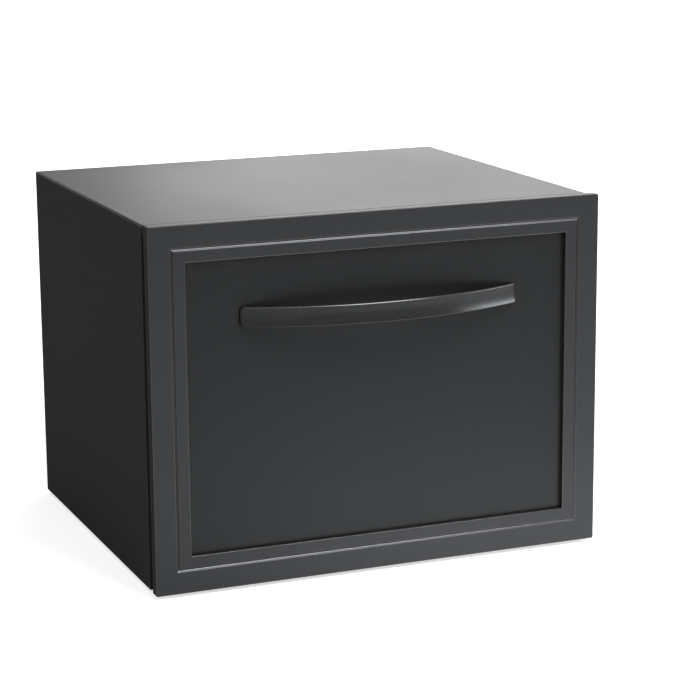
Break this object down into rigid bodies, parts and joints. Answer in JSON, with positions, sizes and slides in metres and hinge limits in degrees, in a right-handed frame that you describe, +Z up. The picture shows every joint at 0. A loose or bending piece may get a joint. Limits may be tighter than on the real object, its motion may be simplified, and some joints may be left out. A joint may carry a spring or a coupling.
{
  "type": "minibar fridge",
  "caption": "Drawer minibar fridge: matt black cabinet whose whole front is a drawer with a framed recessed panel and a bowed handle, thermoelectric cooling behind.",
  "frame": {"origin": "centre of the whole outline at floor level", "axes": "+Z up, -Y is the drawer front, +X to the right across the front seen from above with the front below"},
  "size_m": [0.486, 0.453, 0.374],
  "materials": {
    "black_steel": "matt",
    "front_plastic": "satin",
    "panel_plastic": "satin",
    "handle_plastic": "satin",
    "zinc_steel": "zinc plated",
    "bright_steel": "polished",
    "cast_aluminium": "extruded",
    "liner_plastic": "gloss",
    "grey_plastic": "satin",
    "foam": "rough",
    "black_rubber": "matt",
    "black_plastic": "satin",
    "ceramic": "ceramic",
    "circuit_board": "lacquered",
    "brass_pins": "bright",
    "clear_lens": "frosted"
  },
  "bodies": {
    "cabinet": {"cabinet_shell": "black_steel", "base_pan": "black_steel", "rear_panel": "zinc_steel", "rear_cover": "black_steel", "rear_cover_screws": "zinc_steel", "insulation": "foam", "inner_liner": "liner_plastic", "feet": "black_rubber", "fixing_nuts": "zinc_steel", "slide_screws": "zinc_steel", "cold_block": "cast_aluminium", "peltier_module": "ceramic", "cold_sink": "cast_aluminium", "hot_sink": "cast_aluminium", "clamp_screws": "zinc_steel", "cold_fan_frame": "black_plastic", "hot_fan_frame": "black_plastic", "fan_screws": "zinc_steel", "cold_fan_cover": "liner_plastic", "control_housing": "liner_plastic", "light_lens": "clear_lens", "light_board": "circuit_board", "thermostat_body": "grey_plastic", "temperature_sensor": "grey_plastic", "reed_switch": "black_plastic", "board_standoffs": "liner_plastic", "control_board": "circuit_board", "board_components": "black_plastic", "power_supply_case": "zinc_steel", "power_supply_board": "circuit_board", "mains_inlet": "black_plastic", "inlet_pins": "brass_pins", "drain_tube": "grey_plastic", "drip_tray": "grey_plastic", "slide_outer_left": "zinc_steel", "slide_outer_right": "zinc_steel"},
    "drawer": {"front_frame": "front_plastic", "front_bezel": "front_plastic", "decor_panel": "panel_plastic", "handle": "handle_plastic", "handle_screws": "zinc_steel", "front_insulation": "foam", "front_liner": "liner_plastic", "gasket": "black_rubber", "gasket_magnets": "black_rubber", "drawer_bin": "liner_plastic", "bin_screws": "zinc_steel", "slide_inner_left": "zinc_steel", "slide_inner_right": "zinc_steel"},
    "divider_left": {"divider_left": "liner_plastic"},
    "divider_right": {"divider_right": "liner_plastic"},
    "slide_middle_left": {"slide_middle_left": "zinc_steel"},
    "slide_middle_right": {"slide_middle_right": "zinc_steel"},
    "ball_cage_outer_left": {"ball_cage_outer_left": "bright_steel"},
    "ball_cage_outer_right": {"ball_cage_outer_right": "bright_steel"},
    "ball_cage_inner_left": {"ball_cage_inner_left": "bright_steel"},
    "ball_cage_inner_right": {"ball_cage_inner_right": "bright_steel"},
    "cold_fan_rotor": {"cold_fan_rotor": "black_plastic"},
    "hot_fan_rotor": {"hot_fan_rotor": "black_plastic"},
    "thermostat_knob": {"thermostat_knob": "grey_plastic"}
  },
  "joints": [
    {"name": "drawer_slide", "type": "slide", "parent": "cabinet", "child": "drawer", "axis": [0, -1, 0], "range_m": [0, 0.25]},
    {"name": "slide_middle_left_travel", "type": "slide", "parent": "cabinet", "child": "slide_middle_left", "axis": [0, -1, 0], "range_m": [0, 0.125]},
    {"name": "ball_cage_outer_left_travel", "type": "slide", "parent": "cabinet", "child": "ball_cage_outer_left", "axis": [0, -1, 0], "range_m": [0, 0.0625]},
    {"name": "ball_cage_inner_left_travel", "type": "slide", "parent": "cabinet", "child": "ball_cage_inner_left", "axis": [0, -1, 0], "range_m": [0, 0.1875]},
    {"name": "slide_middle_right_travel", "type": "slide", "parent": "cabinet", "child": "slide_middle_right", "axis": [0, -1, 0], "range_m": [0, 0.125]},
    {"name": "ball_cage_outer_right_travel", "type": "slide", "parent": "cabinet", "child": "ball_cage_outer_right", "axis": [0, -1, 0], "range_m": [0, 0.0625]},
    {"name": "ball_cage_inner_right_travel", "type": "slide", "parent": "cabinet", "child": "ball_cage_inner_right", "axis": [0, -1, 0], "range_m": [0, 0.1875]},
    {"name": "divider_left_slide", "type": "slide", "parent": "drawer", "child": "divider_left", "axis": [1, 0, 0], "range_m": [-0.08, 0.05]},
    {"name": "divider_right_slide", "type": "slide", "parent": "drawer", "child": "divider_right", "axis": [1, 0, 0], "range_m": [-0.05, 0.08]},
    {"name": "cold_fan_spin", "type": "hinge", "parent": "cabinet", "child": "cold_fan_rotor", "pos_m": [0, 0.0821, 0.229], "axis": [0, 1, 0], "continuous": true},
    {"name": "hot_fan_spin", "type": "hinge", "parent": "cabinet", "child": "hot_fan_rotor", "pos_m": [0, 0.1976, 0.229], "axis": [0, 1, 0], "continuous": true},
    {"name": "thermostat_turn", "type": "hinge", "parent": "cabinet", "child": "thermostat_knob", "pos_m": [0.042, -0.0852, 0.3135], "axis": [0, 0, 1], "range_deg": [0, 270]}
  ],
  "couplings": [
    {"joint": "slide_middle_left_travel", "follows": "drawer_slide", "ratio": 0.5},
    {"joint": "ball_cage_outer_left_travel", "follows": "drawer_slide", "ratio": 0.25},
    {"joint": "ball_cage_inner_left_travel", "follows": "drawer_slide", "ratio": 0.75},
    {"joint": "slide_middle_right_travel", "follows": "drawer_slide", "ratio": 0.5},
    {"joint": "ball_cage_outer_right_travel", "follows": "drawer_slide", "ratio": 0.25},
    {"joint": "ball_cage_inner_right_travel", "follows": "drawer_slide", "ratio": 0.75}
  ]
}
